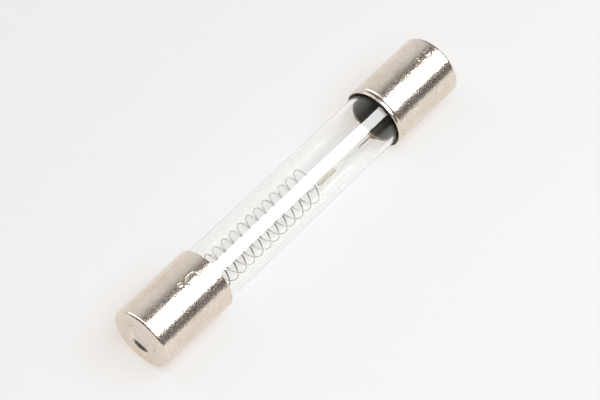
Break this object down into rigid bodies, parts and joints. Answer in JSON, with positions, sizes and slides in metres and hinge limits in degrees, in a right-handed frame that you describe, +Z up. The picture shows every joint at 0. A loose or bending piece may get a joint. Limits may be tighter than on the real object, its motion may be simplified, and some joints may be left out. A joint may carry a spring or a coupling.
{
  "type": "cartridge fuse",
  "caption": "Cylindrical glass cartridge fuse with metal end caps, an internal tension spring, a soldered link tab and a thin fuse wire.",
  "frame": {"origin": "middle of the cartridge, on its axis", "axes": "+X along the axis from the spring's end cap to the fuse wire's end cap, +Z up as the fuse lies in the picture"},
  "size_m": [0.04, 0.0064, 0.0064],
  "materials": {
    "clear_glass": "polished",
    "nickel_plate": "polished",
    "cement": "matte",
    "solder": "satin",
    "spring_steel": "gloss",
    "tinned_tab": "satin",
    "fuse_wire": "gloss"
  },
  "bodies": {
    "cartridge": {"glass_tube": "clear_glass", "end_cap_spring_side": "nickel_plate", "end_cap_wire_side": "nickel_plate", "cement_ring_spring_side": "cement", "cement_ring_wire_side": "cement", "cap_solder_spring_side": "solder", "cap_solder_wire_side": "solder", "tension_spring": "spring_steel", "fuse_wire": "fuse_wire"},
    "release_link": {"link_tab": "tinned_tab", "spring_joint_solder": "solder", "release_solder": "solder"}
  },
  "joints": [
    {"name": "spring_retract", "type": "slide", "parent": "cartridge", "child": "release_link", "axis": [-1, 0, 0], "range_m": [0, 0.0155], "deforming": ["tension_spring"]}
  ]
}
